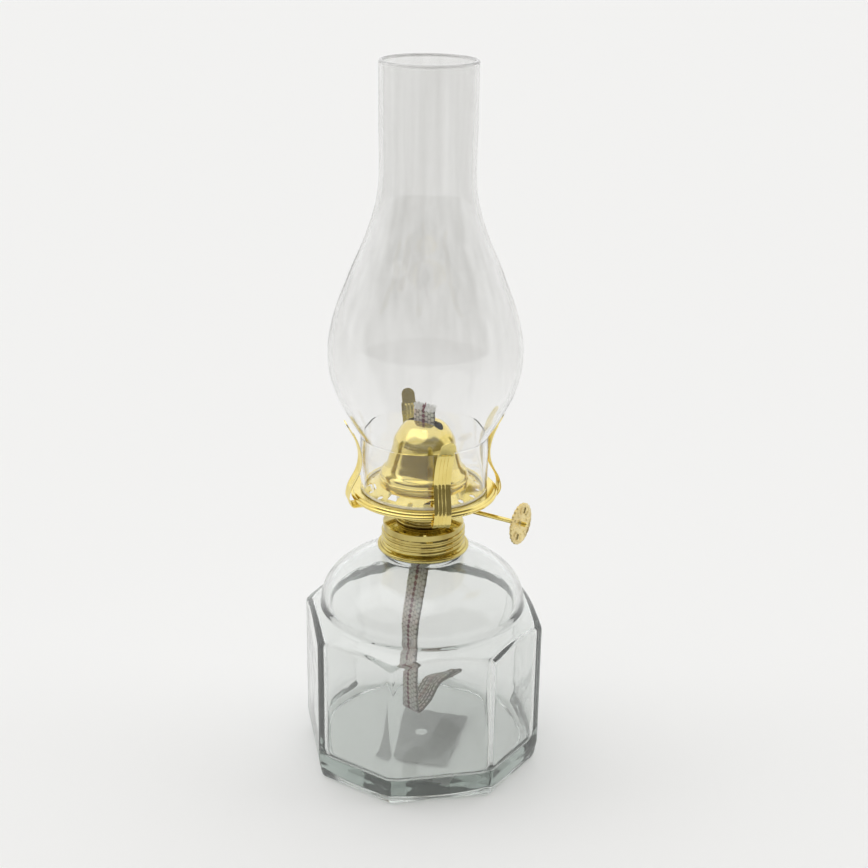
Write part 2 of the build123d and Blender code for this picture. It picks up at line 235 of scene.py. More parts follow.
def rounded(before, corner, after, steps):
    """Points of a soft corner between two points, pulled towards the corner."""
    points = []
    for step in range(steps + 1):
        t = step / steps
        points.append((before[0] * (1 - t) ** 2 + 2 * corner[0] * t * (1 - t) + after[0] * t * t,
                       before[1] * (1 - t) ** 2 + 2 * corner[1] * t * (1 - t) + after[1] * t * t))
    return points


def side_radius(angle, corner_radius, sharpness):
    """How far the eight-sided wall is from the axis in one direction."""
    total = 0.0
    for quarter in range(4):
        for half, offset in ((NARROW_HALF, 0.0), (WIDE_HALF, math.pi / 4)):
            facing = math.cos(angle - FONT_TURN - offset - quarter * math.pi / 2)
            if facing > 0.2:
                total += (facing / math.cos(half)) ** sharpness
    return corner_radius * total ** (-1 / sharpness)


def outer_side(angle):
    return side_radius(angle, FONT_RADIUS, OUTER_SHARPNESS)


def inner_side(angle):
    return side_radius(angle, FONT_RADIUS - WALL_AT_CORNERS, INNER_SHARPNESS)


def crease(side, dome, height, slope):
    """Where the sloping shoulder meets the wall in one direction."""
    return lambda angle: height - slope * (side(angle) - dome)


def fixed(radius, height):
    return lambda angle: (radius * MM, height * MM)


def on_side(side, scale, inward, height):
    return lambda angle: (side(angle) * scale - inward * MM, height * MM)


def shoulder_rings(side, crease_height, slope, soften, steps):
    """Rings that turn the wall into the shoulder with a soft edge."""
    run = soften / math.hypot(1, slope)

    def ring(step):
        def at(angle):
            wall, top = side(angle), crease_height(angle)
            points = rounded((wall, top - soften), (wall, top), (wall - run, top + run * slope), steps)
            return points[step]
        return at
    return [ring(step) for step in range(steps + 1)]


def dome_rings(radius, rise, base, stop, steps):
    """Rings of an elliptical dome from its widest place up to a radius of stop."""
    last = math.acos(stop / radius)
    rings = []
    for step in range(steps + 1):
        t = last * step / steps
        rings.append(fixed(radius * math.cos(t), base + rise * math.sin(t)))
    return rings


def neck_ring(height):
    """A ring of the neck, with the raised thread that climbs one and a half turns."""
    def at(angle):
        turn = (angle / (2 * math.pi)) % 1.0
        lift = 0.0
        for wind in range(3):
            along = turn + wind
            if along <= 1.5:
                distance = abs(height * MM - THREAD_START - THREAD_PITCH * along) / MM
                fade = min(1.0, along / 0.06, (1.5 - along) / 0.06)
                lift = max(lift, fade * min(0.7, max(0.0, (0.75 - distance) * 1.75)))
        return (NECK_RADIUS + lift * MM, height * MM)
    return at


outer_crease = crease(outer_side, DOME_RADIUS, 80.4 * MM, 0.7)
inner_crease = crease(inner_side, DOME_RADIUS - 4 * MM, 76.4 * MM, 0.556)
foot_scale = 58.3 / 60

rings = [fixed(3, 1.5), fixed(20, 1.5), fixed(46.5, 1.5)]
rings += [fixed(r, z) for r, z in rounded((47.2, 1.5), (48.0, 1.5), (48.5, 0.75), 3)]
rings += [fixed(r, z) for r, z in rounded((48.7, 0.4), (49.0, 0.0), (49.6, 0.0), 3)]
rings += [on_side(outer_side, foot_scale, 1.6 - 1.6 * t, 1.3 * t * t) for t in (0, 0.3, 0.6, 0.85, 1)]
rings += [on_side(outer_side, foot_scale + (1 - foot_scale) * t, 0, 10 * t) for t in (0.3, 0.6, 0.9)]
rings += [on_side(outer_side, 1, 0.05, 9.7), on_side(outer_side, 1, 0, 10.3)]
rings += [on_side(outer_side, 1, 0, height) for height in (11.5, 24, 38, 52, 64)]
rings += shoulder_rings(outer_side, outer_crease, 0.7, 1.5 * MM, 5)
for share in (0.35, 0.7):
    rings.append(lambda angle, share=share: (
        outer_side(angle) + (50.3 * MM - outer_side(angle)) * share,
        outer_crease(angle) + (79.84 * MM - outer_crease(angle)) * share))
rings += [fixed(r, z) for r, z in rounded((50.3, 79.84), (49.5, 80.4), (49.5, 81.6), 4)]
rings += dome_rings(49.5, 27.0, 82.0, 19.4, 30)
rings += [fixed(r, z) for r, z in rounded((19.0, 107.0), (18.6, 107.3), (18.6, 108.2), 3)]
rings += [neck_ring(110 + 0.3 * step) for step in range(38)]
rings += [fixed(r, z) for r, z in rounded((18.6, 121.3), (18.6, 122), (17.9, 122), 4)]
rings += [fixed(r, z) for r, z in rounded((15.7, 122), (15.0, 122), (15.0, 121.3), 4)]
rings += [fixed(15, 114), fixed(15, 106.6)]
rings += reversed(dome_rings(45.5, 23.0, 82.0, 15.4, 24))
rings += [fixed(r, z) for r, z in rounded((45.5, 80), (45.5, 76.4), (47.5, 75.3), 5)]
rings += reversed(shoulder_rings(inner_side, inner_crease, 0.556, 1.2 * MM, 5))
rings += [on_side(inner_side, 1, 0, height) for height in (62, 48, 34, 22, 15.5)]
for step in range(1, 7):
    turn = math.pi / 2 * step / 6
    rings.append(on_side(inner_side, 1, 5 - 5 * math.cos(turn), 15 - 5 * math.sin(turn)))
rings += [fixed(40, 10), fixed(20, 10), fixed(3, 10)]

font = drawn_in_rings("font_body", 288, rings, pole_start=True, pole_end=True)
smooth(font, 40)


def glass_material(name, tint, wave_scale, wave_height, clearness=1.0, density=0, thick_tint=None):
    """Clear glass with a faint waviness; it lets the lamp's light through to what it holds."""
    material, shader, add, link = new_material(name)
    shader.inputs["Base Color"].default_value = tint
    shader.inputs["Roughness"].default_value = 0.0
    shader.inputs["IOR"].default_value = 1.5
    shader.inputs["Transmission Weight"].default_value = clearness
    place = add("ShaderNodeTexCoord")
    ripple = add("ShaderNodeTexNoise", Scale=wave_scale, Detail=2.0)
    link(place.outputs["Object"], ripple.inputs["Vector"])
    bump = add("ShaderNodeBump", Strength=0.35, Distance=wave_height)
    link(ripple.outputs["Fac"], bump.inputs["Height"])
    link(bump.outputs["Normal"], shader.inputs["Normal"])
    rays = add("ShaderNodeLightPath")
    clear = add("ShaderNodeBsdfTransparent", Color=tint)
    mix = add("ShaderNodeMixShader")
    link(rays.outputs["Is Shadow Ray"], mix.inputs["Fac"])
    trapped = add("ShaderNodeMath", operation="GREATER_THAN")
    trapped.inputs[1].default_value = SURFACES_TO_CLOUD
    link(rays.outputs["Ray Depth"], trapped.inputs[0])
    cloudy = add("ShaderNodeBsdfDiffuse", Color=(0.88, 0.93, 0.90, 1))
    inside = add("ShaderNodeMixShader")
    link(trapped.outputs["Value"], inside.inputs["Fac"])
    link(shader.outputs["BSDF"], inside.inputs[1])
    link(cloudy.outputs["BSDF"], inside.inputs[2])
    link(inside.outputs["Shader"], mix.inputs[1])
    link(clear.outputs["BSDF"], mix.inputs[2])
    output = material.node_tree.nodes["Material Output"]
    link(mix.outputs["Shader"], output.inputs["Surface"])
    if density:
        depth = add("ShaderNodeVolumeAbsorption", Color=thick_tint, Density=density)
        link(depth.outputs["Volume"], output.inputs["Volume"])
    return material, shader, add, link


font_glass, shader, add, link = glass_material(
    "font_glass_pressed", tint=(0.975, 0.98, 0.975, 1), wave_scale=60, wave_height=0.4 * MM,
    clearness=0.95, density=20, thick_tint=(0.46, 0.53, 0.49, 1))
font.data.materials.append(font_glass)
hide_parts("font_glass")
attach(font, "font")


# ---- Base label --------------------------------------------------------------------------------
# A plain sticker of matt paper, glued into the push-up under the foot of the font, so that it
# shows as a grey patch through the thick floor of the glass.


def two_tone(add, first, last, start=0.0, stop=1.0):
    """A colour ramp from a first colour to a last one."""
    ramp = add("ShaderNodeValToRGB")
    for element, place, colour in zip(ramp.color_ramp.elements, (start, stop), (first, last)):
        element.position = place
        element.color = colour
    return ramp


paper, shader, add, link = new_material("label_paper")
place = add("ShaderNodeTexCoord")
fibres = add("ShaderNodeTexNoise", Scale=900.0, Detail=6.0)
link(place.outputs["Object"], fibres.inputs["Vector"])
smudge = add("ShaderNodeTexNoise", Scale=45.0, Detail=3.0)
link(place.outputs["Object"], smudge.inputs["Vector"])
mixed = add("ShaderNodeMixRGB", blend_type="MULTIPLY", Fac=0.5)
link(fibres.outputs["Fac"], mixed.inputs["Color1"])
link(smudge.outputs["Fac"], mixed.inputs["Color2"])
tone = two_tone(add, (0.93, 0.93, 0.92, 1), (0.99, 0.99, 0.98, 1))
link(mixed.outputs["Color"], tone.inputs["Fac"])
link(tone.outputs["Color"], shader.inputs["Base Color"])
shader.inputs["Roughness"].default_value = 0.8
nodes["base_label"].data.materials.clear()
nodes["base_label"].data.materials.append(paper)


# ---- Seal ring ---------------------------------------------------------------------------------
# The flat gasket of dark cork-filled rubber, stamped from sheet. It lies between the rim of the
# neck and the cap, and is squeezed when the burner is screwed down.

cork, shader, add, link = new_material("seal_rubber")
place = add("ShaderNodeTexCoord")
grain = add("ShaderNodeTexVoronoi", Scale=1400.0)
link(place.outputs["Object"], grain.inputs["Vector"])
tone = two_tone(add, (0.03, 0.025, 0.02, 1), (0.10, 0.07, 0.045, 1))
link(grain.outputs["Distance"], tone.inputs["Fac"])
link(tone.outputs["Color"], shader.inputs["Base Color"])
shader.inputs["Roughness"].default_value = 0.75
nodes["seal_ring"].data.materials.clear()
nodes["seal_ring"].data.materials.append(cork)


# ---- Burner of pressed brass -------------------------------------------------------------------
# Cap, drum, gallery, cone and the small plates and tubes inside: thin sheet brass, spun or pressed,
# polished bright, with faint turning marks. The cap and drum under the gallery get a darker copy of
# the brass as painted shade.

def brass_material(name, marking, bright=(0.92, 0.77, 0.29, 1), dull=(0.80, 0.64, 0.20, 1),
                   grain=(60, 60, 2600), rough=(0.07, 0.20)):
    """Polished brass; marking is how strong its polishing marks are, and grain their run."""
    material, shader, add, link = new_material(name)
    shader.inputs["Metallic"].default_value = 1.0
    place = add("ShaderNodeTexCoord")
    cloud = add("ShaderNodeTexNoise", Scale=70.0, Detail=4.0)
    link(place.outputs["Object"], cloud.inputs["Vector"])
    tone = two_tone(add, dull, bright, 0.35, 0.6)
    link(cloud.outputs["Fac"], tone.inputs["Fac"])
    link(tone.outputs["Color"], shader.inputs["Base Color"])
    squeeze = add("ShaderNodeMapping", Scale=grain)
    link(place.outputs["Object"], squeeze.inputs["Vector"])
    marks = add("ShaderNodeTexNoise", Scale=1.0, Detail=3.0)
    link(squeeze.outputs["Vector"], marks.inputs["Vector"])
    haze = add("ShaderNodeMapRange", To_Min=rough[0], To_Max=rough[1])
    link(marks.outputs["Fac"], haze.inputs["Value"])
    link(haze.outputs["Result"], shader.inputs["Roughness"])
    bump = add("ShaderNodeBump", Strength=marking, Distance=0.00002)
    link(marks.outputs["Fac"], bump.inputs["Height"])
    link(bump.outputs["Normal"], shader.inputs["Normal"])
    return material


brass = brass_material("brass_spun", 0.25)
# A darker copy of the brass for the cap and drum: painted shade for where they sit under the gallery.
painted_shade_brass = brass_material("brass_painted_shade", 0.4, bright=(0.66, 0.56, 0.21, 1), dull=(0.40, 0.31, 0.10, 1),
                         rough=(0.05, 0.14))
for name in ("tube_plate", "wick_tube", "vent_tube", "air_plate", "gallery_plate", "cone",
             "bush_outer", "bush_inner", "winder_shaft"):
    nodes[name].data.materials.clear()
    nodes[name].data.materials.append(brass)
for name in ("screw_cap", "burner_drum"):
    nodes[name].data.materials.clear()
    nodes[name].data.materials.append(painted_shade_brass)


# ---- Sprockets ---------------------------------------------------------------------------------
# Two small toothed wheels on the spindle that bite the wick through the windows of its tube,
# stamped in plain steel.

steel, shader, add, link = new_material("sprocket_steel")
place = add("ShaderNodeTexCoord")
brush = add("ShaderNodeTexNoise", Scale=900.0, Detail=3.0)
link(place.outputs["Object"], brush.inputs["Vector"])
tone = add("ShaderNodeValToRGB")
tone.color_ramp.elements[0].color = (0.30, 0.29, 0.27, 1)
tone.color_ramp.elements[1].color = (0.60, 0.59, 0.57, 1)
link(brush.outputs["Fac"], tone.inputs["Fac"])
link(tone.outputs["Color"], shader.inputs["Base Color"])
shader.inputs["Metallic"].default_value = 1.0
shader.inputs["Roughness"].default_value = 0.38
for name in ("sprocket_1", "sprocket_2"):
    nodes[name].data.materials.clear()
    nodes[name].data.materials.append(steel)


# ---- Spring prongs -----------------------------------------------------------------------------
# Four strips of spring brass hold the chimney. Each is pressed with a sunk panel and three flutes,
# cut round at its tip, bent under the rim and hooked up through a slot of the gallery.

PRONG_GAUGE = 0.5
PRONG_TONGUE = 3.4                # half width near the tip, and the radius of its round end
PRONG_BODY = 4.0
PRONG_TAB = 3.0
PANEL_HALF = 2.75
FLUTE_PITCH = 1.7
PRONG_LEANS = (0.6, 0, -0.8, -3.6)    # degrees; the last one leans most


def bent_line(corners, radii, steps=7):
    """Points of a line through corners, each corner rounded to its radius."""
    line = [Vector(corners[0])]
    for before, corner, after, radius in zip(corners, corners[1:], corners[2:], radii):
        corner = Vector(corner)
        inward = (Vector(before) - corner).normalized()
        outward = (Vector(after) - corner).normalized()
        cut = radius * math.tan((math.pi - inward.angle(outward)) / 2)
        line += [Vector(p) for p in rounded(corner + inward * cut, corner, corner + outward * cut, steps)]
    line.append(Vector(corners[-1]))
    return line


def line_length(line):
    return sum((end - start).length for start, end in zip(line, line[1:]))


def walked(line, distance):
    """Point and direction at a distance along a line."""
    for start, end in zip(line, line[1:]):
        run = (end - start).length
        if distance <= run and run > 0:
            break
        distance -= run
    direction = (end - start).normalized()
    return start + direction * min(distance, run), direction


def placed_grid(name, columns, rows, place):
    """A grid whose points are placed from their share across and their row number."""
    deselect_all()
    bpy.ops.mesh.primitive_grid_add(x_subdivisions=columns, y_subdivisions=rows, size=2)
    piece = bpy.context.object
    piece.name = name
    bpy.ops.object.mode_set(mode="EDIT")
    mesh = bmesh.from_edit_mesh(piece.data)
    for vertex in mesh.verts:
        row = round((vertex.co.y + 1) / 2 * rows)
        vertex.co = place(vertex.co.x, row)
    bmesh.update_edit_mesh(piece.data)
    return piece


def finish_with(piece, kind, **settings):
    """Add a modifier, set it and apply it."""
    bpy.context.view_layer.objects.active = piece
    modifier = piece.modifiers.new(kind.lower(), kind)
    for key, value in settings.items():
        setattr(modifier, key, value)
    bpy.ops.object.modifier_apply(modifier=modifier.name)


prong_line = bent_line([(24.6, 143.2), (24.6, 138.6), (27.0, 134.7), (35.0, 134.4), (37.0, 137.6),
                        (36.3, 143.0), (29.3, 155.0), (32.6, 167.0), (38.1, 177.0)],
                       [1.5, 2, 1.8, 5, 16, 20, 26])
prong_length = line_length(prong_line)
stations = [(prong_length - PRONG_TONGUE) * step / 120 for step in range(121)]
for step in range(1, 12):
    stations.append(prong_length - PRONG_TONGUE * (1 - math.sin(math.pi / 2 * step / 12)))


def prong_half_width(distance, radius):
    """Half the strip's width at a distance from its hooked end."""
    left = prong_length - distance
    if left < PRONG_TONGUE:
        return math.sqrt(max(0.0, PRONG_TONGUE ** 2 - (PRONG_TONGUE - left) ** 2))
    if left < 7.5:
        return PRONG_TONGUE
    if radius < 30.2 and distance < 25:
        return PRONG_TAB
    return PRONG_BODY


def pressed_depth(across, distance):
    """How far the panel and its flutes are pressed in."""
    end = prong_length - 8.2
    ends = min(1.0, max(0.0, (end - distance) / 0.35)) * min(1.0, max(0.0, (distance - 15.4) / 0.8))
    sides = min(1.0, max(0.0, (PANEL_HALF - abs(across)) / 0.25))
    flute = 0.5 + 0.5 * math.cos(2 * math.pi * across / FLUTE_PITCH)
    return ends * sides * (0.08 + 0.28 * flute ** 1.5)


def prong_point(share, row):
    distance = stations[row]
    place, direction = walked(prong_line, distance)
    across = share * prong_half_width(distance, place.x)
    inward = pressed_depth(across, distance)
    return (MM * (place.x - direction.y * inward), MM * across, MM * (place.y + direction.x * inward))


prong = placed_grid("prong_strip_1", 48, len(stations) - 1, prong_point)
bpy.ops.mesh.select_all(action="SELECT")
bpy.ops.mesh.remove_doubles(threshold=1e-6)
mesh = bmesh.from_edit_mesh(prong.data)
upper = max(mesh.faces, key=lambda face: face.calc_center_median().z)
if upper.normal.x < 0:
    bpy.ops.mesh.flip_normals()
bpy.ops.object.mode_set(mode="OBJECT")
finish_with(prong, "SOLIDIFY", thickness=PRONG_GAUGE * MM, offset=1)
finish_with(prong, "BEVEL", width=0.1 * MM, segments=2, limit_method="ANGLE",
            angle_limit=math.radians(60))
smooth(prong, 35)
spring_brass = brass_material("brass_strip", 0.25, grain=(2400, 2400, 60))
prong.data.materials.append(spring_brass)


def bent_aside(angle, lean):
    """The turn that leans a prong sideways about its foot, as they come bent by hand."""
    radial = Vector((math.cos(angle), math.sin(angle), 0))
    foot = radial * 27 * MM + Vector((0, 0, 138 * MM))
    turn = Matrix.Rotation(math.radians(lean), 4, radial)
    return Matrix.Translation(foot) @ turn @ Matrix.Translation(-foot)


prongs = [prong]
for number in (2, 3, 4):
    deselect_all()
    prong.select_set(True)
    bpy.context.view_layer.objects.active = prong
    bpy.ops.object.duplicate()
    prongs.append(bpy.context.object)
for number, piece in enumerate(prongs, start=1):
    piece.name = f"prong_strip_{number}"
    deselect_all()
    piece.select_set(True)
    bpy.context.view_layer.objects.active = piece
    piece.rotation_euler.z = math.radians(90 * number - 45)
    bpy.ops.object.transform_apply(location=False, rotation=True, scale=False)
    piece.matrix_world = bent_aside(math.radians(90 * number - 45), PRONG_LEANS[number - 1])
    bpy.ops.object.transform_apply(location=True, rotation=True, scale=False)
    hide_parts(f"prong_{number}")
    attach(piece, f"prong_{number}")


# ---- Winder knob -------------------------------------------------------------------------------
# A thin brass disc, coined with a scalloped edge, a low rim and twelve ribs to grip, with a boss
# round the spindle.

KNOB_LOBES = 22
KNOB_RIBS = 12
knob_low, knob_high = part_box("winder_knob")
knob_radius = (knob_high.z - knob_low.z) / 2 / MM
spindle_radius = 1.1


def knob_edge(inset, height):
    """A ring along the scalloped edge, or a little inside it."""
    return lambda angle: (
        (knob_radius - 0.65 - inset + 0.65 * math.sqrt(abs(math.cos(KNOB_LOBES / 2 * angle)))) * MM,
        height * MM)


def knob_rib_ring(radius, height, lift):
    """A ring of the face, raised where a rib crosses it."""
    def at(angle):
        step = 2 * math.pi / KNOB_RIBS
        distance = radius * abs((angle + step / 2) % step - step / 2)
        return (radius * MM, (height + lift * min(1.0, max(0.0, (0.6 - distance) / 0.22))) * MM)
    return at


rings = [fixed(spindle_radius, 0), fixed(2.2, 0), fixed(8.7, 0), knob_edge(0.25, 0), knob_edge(0.05, 0.1),
         knob_edge(0, 0.3), knob_edge(0, 0.9), knob_edge(0.05, 1.1), knob_edge(0.25, 1.2)]
rings += [fixed(9.0, 1.22), fixed(8.8, 1.36), fixed(8.55, 1.36), fixed(8.35, 1.1)]
rings += [fixed(8.1, 1.05), knob_rib_ring(7.95, 1.05, 0.3), knob_rib_ring(7.8, 1.05, 0.5)]
rings += [knob_rib_ring(radius, 1.05, 0.55) for radius in (7.5, 6.8, 6.1, 5.4, 5.1)]
rings += [knob_rib_ring(4.95, 1.05, 0.3), fixed(4.8, 1.05), fixed(3.2, 1.05)]
rings += [fixed(r, z) for r, z in rounded((2.75, 1.05), (2.4, 1.05), (2.35, 1.4), 3)]
rings += [fixed(r, z) for r, z in rounded((2.3, 1.5), (2.25, 1.7), (2.0, 1.7), 3)]
rings += [fixed(1.3, 1.7), fixed(spindle_radius, 1.6)]
knob = drawn_in_rings("knob_disc", 264, rings, loop=True)
knob.rotation_euler.y = math.pi / 2
knob.location = (knob_low.x, (knob_low.y + knob_high.y) / 2, (knob_low.z + knob_high.z) / 2)
deselect_all()
knob.select_set(True)
bpy.context.view_layer.objects.active = knob
bpy.ops.object.transform_apply(location=True, rotation=True, scale=False)
smooth(knob, 40)
coined_brass = brass_material("brass_coined", 0.5, bright=(0.86, 0.72, 0.36, 1),
                              dull=(0.70, 0.54, 0.24, 1), grain=(900, 900, 900), rough=(0.22, 0.38))
knob.data.materials.append(coined_brass)
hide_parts("winder_knob")
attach(knob, "winder")


# ---- Wick --------------------------------------------------------------------------------------
# A flat woven cotton wick, 7/16 inch wide: thick grey-white cords with a dark red thread down
# the middle. It hangs from its tube to the floor of the font, where its tail folds back and twists.

WICK_GAUGE = 2.2
WICK_CORDS = 7
STITCH = 2.7                      # millimetres of one stitch along the wick
WICK_COLUMNS = 56
WICK_ROWS = 440
FRAY_ENDS = 320
wick_low, wick_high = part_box("wick")
wick_half = (wick_high.x - wick_low.x) / 2 / MM
wick_line = bent_line([(0, 182.0), (0, 108.0), (-11, 72), (-11.8, 42), (-11.2, 24.5), (1, 27),
                       (10, 31.5), (20, 30), (31, 25)], [25, 40, 60, 3.6, 20, 8, 15])
fray_start = 2.6
wick_length = line_length(wick_line) - fray_start
twist_steps = [(0, 0), (66, 0), (84, 12), (120, 18), (146, 14), (160, 2), (176, -14), (200, -40)]


def twist_at(distance):
    """How far the strip is turned about its own line, in radians."""
    for (start, low), (end, high) in zip(twist_steps, twist_steps[1:]):
        if distance <= end:
            break
    share = min(1.0, (distance - start) / (end - start))
    ease = share * share * (3 - 2 * share)
    return math.radians(low + (high - low) * ease)


def stitch_relief(across, along):
    """Height of the weave, from 0 between stitches to 1 on top of one."""
    cord = (across + 1) / 2 * WICK_CORDS
    column = min(WICK_CORDS - 1, int(cord))
    side = (cord - column - 0.5) / 0.5
    step = along / STITCH + 0.5 * (column % 2)
    length = (step % 1.0 - 0.5) / 0.5
    return math.sqrt(max(0.0, 1 - side * side)) * math.sqrt(max(0.0, 1 - length ** 4))


def wick_point(share, row):
    along = wick_length * row / WICK_ROWS
    place, direction = walked(wick_line, along + fray_start)
    twist = twist_at(along)
    across_x, normal_part = math.cos(twist), math.sin(twist)
    normal = Vector((0, direction.y, -direction.x))
    side = Vector((across_x, 0, 0)) + normal * normal_part
    face = normal * across_x - Vector((normal_part, 0, 0))
    uneven = noise.noise(Vector((share * 3, along * 0.5, 4.0)))
    half = wick_half * (1 + 0.03 * noise.noise(Vector((share > 0, along * 0.35, 1.0))))
    lift = 0.16 * stitch_relief(share, along) + 0.10 * uneven
    return (Vector((0, place.x, place.y)) + side * share * half + face * lift) * MM


wick = placed_grid("wick_cloth", WICK_COLUMNS, WICK_ROWS, wick_point)
bpy.ops.object.mode_set(mode="OBJECT")
thick = wick.vertex_groups.new(name="thick")
for vertex in wick.data.vertices:
    column = vertex.index % (WICK_COLUMNS + 1)
    edge = min(column, WICK_COLUMNS - column)
    thick.add([vertex.index], min(1.0, 0.45 + 0.2 * edge), "REPLACE")
finish_with(wick, "SOLIDIFY", thickness=WICK_GAUGE * MM, offset=0, vertex_group="thick",
            thickness_vertex_group=0.0)
smooth(wick, 60)

cotton, shader, add, link = new_material("wick_cotton")
weave = add("ShaderNodeUVMap")
axes = add("ShaderNodeSeparateXYZ")
link(weave.outputs["UV"], axes.inputs["Vector"])


def math_node(operation, first, second=None, third=None):
    """A Math node fed by sockets or by plain numbers."""
    node = add("ShaderNodeMath", operation=operation)
    for socket, value in zip(node.inputs, (first, second, third)):
        if isinstance(value, (int, float)):
            socket.default_value = value
        elif value is not None:
            link(value, socket)
    return node.outputs["Value"]


cord = math_node("MULTIPLY", axes.outputs["X"], WICK_CORDS)
column = math_node("FLOOR", cord)
side = math_node("MULTIPLY_ADD", math_node("FRACT", cord), 2.0, -1.0)
odd = math_node("MULTIPLY", math_node("MODULO", column, 2.0), 0.5)
step = math_node("MULTIPLY_ADD", axes.outputs["Y"], wick_length / STITCH, odd)
length = math_node("MULTIPLY_ADD", math_node("FRACT", step), 2.0, -1.0)
round_side = math_node("POWER", math_node("ABSOLUTE", side), 2.2)
round_length = math_node("POWER", math_node("ABSOLUTE", length), 3.0)
gap = math_node("MINIMUM", math_node("ADD", round_side, round_length), 1.0)
place = add("ShaderNodeTexCoord")
lint = add("ShaderNodeTexNoise", Scale=1500.0, Detail=4.0)
link(place.outputs["Object"], lint.inputs["Vector"])
patches = add("ShaderNodeTexNoise", Scale=130.0, Detail=3.0)
link(place.outputs["Object"], patches.inputs["Vector"])
# Painted shade: the grey-white yarn turns dark brown in the gaps between the stitches, where shade falls.
gaps_and_lint = math_node("MULTIPLY_ADD", lint.outputs["Fac"], 0.4, math_node("MULTIPLY", gap, 0.85))
# The lower length hangs slack and is a little soiled: its weave shows less, and it is darker.
fresh = add("ShaderNodeMapRange", From_Min=0.12, From_Max=0.45, To_Min=1.0, To_Max=0.82)
link(axes.outputs["Y"], fresh.inputs["Value"])
yarn_and_gap_shade = two_tone(add, (0.80, 0.76, 0.68, 1), (0.15, 0.13, 0.105, 1), 0.25, 0.95)
link(math_node("MULTIPLY", gaps_and_lint, fresh.outputs["Result"]), yarn_and_gap_shade.inputs["Fac"])
red = two_tone(add, (0.17, 0.02, 0.045, 1), (0.55, 0.50, 0.43, 1), 0.52, 0.74)
link(gaps_and_lint, red.inputs["Fac"])
middle = math_node("COMPARE", column, WICK_CORDS // 2, 0.4)
dyed = add("ShaderNodeMixRGB")
link(middle, dyed.inputs["Fac"])
link(yarn_and_gap_shade.outputs["Color"], dyed.inputs["Color1"])
link(red.outputs["Color"], dyed.inputs["Color2"])
shaded = add("ShaderNodeMixRGB", blend_type="MULTIPLY", Fac=0.35)
link(dyed.outputs["Color"], shaded.inputs["Color1"])
link(patches.outputs["Color"], shaded.inputs["Color2"])
soil = add("ShaderNodeMapRange", From_Min=0.25, From_Max=0.7, To_Min=1.0, To_Max=0.74)
link(axes.outputs["Y"], soil.inputs["Value"])
soiled = add("ShaderNodeMixRGB", blend_type="MULTIPLY", Fac=1.0)
link(shaded.outputs["Color"], soiled.inputs["Color1"])
link(soil.outputs["Result"], soiled.inputs["Color2"])
link(soiled.outputs["Color"], shader.inputs["Base Color"])
shader.inputs["Roughness"].default_value = 0.95
shader.inputs["Sheen Weight"].default_value = 0.25
shader.inputs["Specular IOR Level"].default_value = 0.2
fuzz = add("ShaderNodeBump", Strength=0.7, Distance=0.0002)
link(gaps_and_lint, fuzz.inputs["Height"])
link(fuzz.outputs["Normal"], shader.inputs["Normal"])
wick.data.materials.append(cotton)

# The top of the wick is unwoven: soft white ends stand up and out, dark red in the middle.
random.seed(7)
deselect_all()
ends = []
for number in range(FRAY_ENDS):
    share = random.uniform(-1, 1)
    bpy.ops.mesh.primitive_cone_add(vertices=4, radius1=0.24 * MM, radius2=0.07 * MM, depth=2 * MM,
                                    end_fill_type="NOTHING")
    fibre = bpy.context.object
    tall = random.uniform(0.8, 1.7)
    lean_x = math.radians(random.uniform(-24, 24) + share * 11)
    lean_y = math.radians(random.uniform(-38, 38))
    fibre.scale = (1, 1, tall)
    fibre.rotation_euler = (lean_y, lean_x, random.uniform(0, 6.28))
    foot = Vector((share * wick_half * 0.88, random.uniform(-0.85, 0.85), 179.5))
    reach = Vector((math.sin(lean_x), -math.sin(lean_y), math.cos(lean_x) * math.cos(lean_y)))
    fibre.location = (foot + reach * tall * 0.95) * MM
    ends.append(fibre)
for fibre in ends:
    fibre.select_set(True)
bpy.context.view_layer.objects.active = ends[0]
bpy.ops.object.join()
bpy.ops.object.transform_apply(location=True, rotation=True, scale=True)
fray = bpy.context.object
fray.name = "wick_fray"
smooth(fray, 180)

lint_white, shader, add, link = new_material("wick_frayed")
place = add("ShaderNodeTexCoord")
axes = add("ShaderNodeSeparateXYZ")
link(place.outputs["Object"], axes.inputs["Vector"])
wander = add("ShaderNodeTexNoise", Scale=700.0, Detail=2.0)
link(place.outputs["Object"], wander.inputs["Vector"])
off_middle = math_node("ABSOLUTE", axes.outputs["X"])
off_middle = math_node("MULTIPLY_ADD", wander.outputs["Fac"], 0.0006, off_middle)
dye = two_tone(add, (0.24, 0.02, 0.04, 1), (0.98, 0.975, 0.95, 1), 0.0, 0.5)
dye.color_ramp.interpolation = "CONSTANT"
link(math_node("MULTIPLY", off_middle, 500.0), dye.inputs["Fac"])
link(dye.outputs["Color"], shader.inputs["Base Color"])
shader.inputs["Roughness"].default_value = 0.9
shader.inputs["Sheen Weight"].default_value = 0.3
fray.data.materials.append(lint_white)
for piece in (wick, fray):
    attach(piece, "wick")
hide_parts("wick")


# ---- Chimney -----------------------------------------------------------------------------------
# Thin blown glass: a straight foot that stands in the gallery, a sharp crease where the belly
# starts, and a long neck with a fire-polished rim.

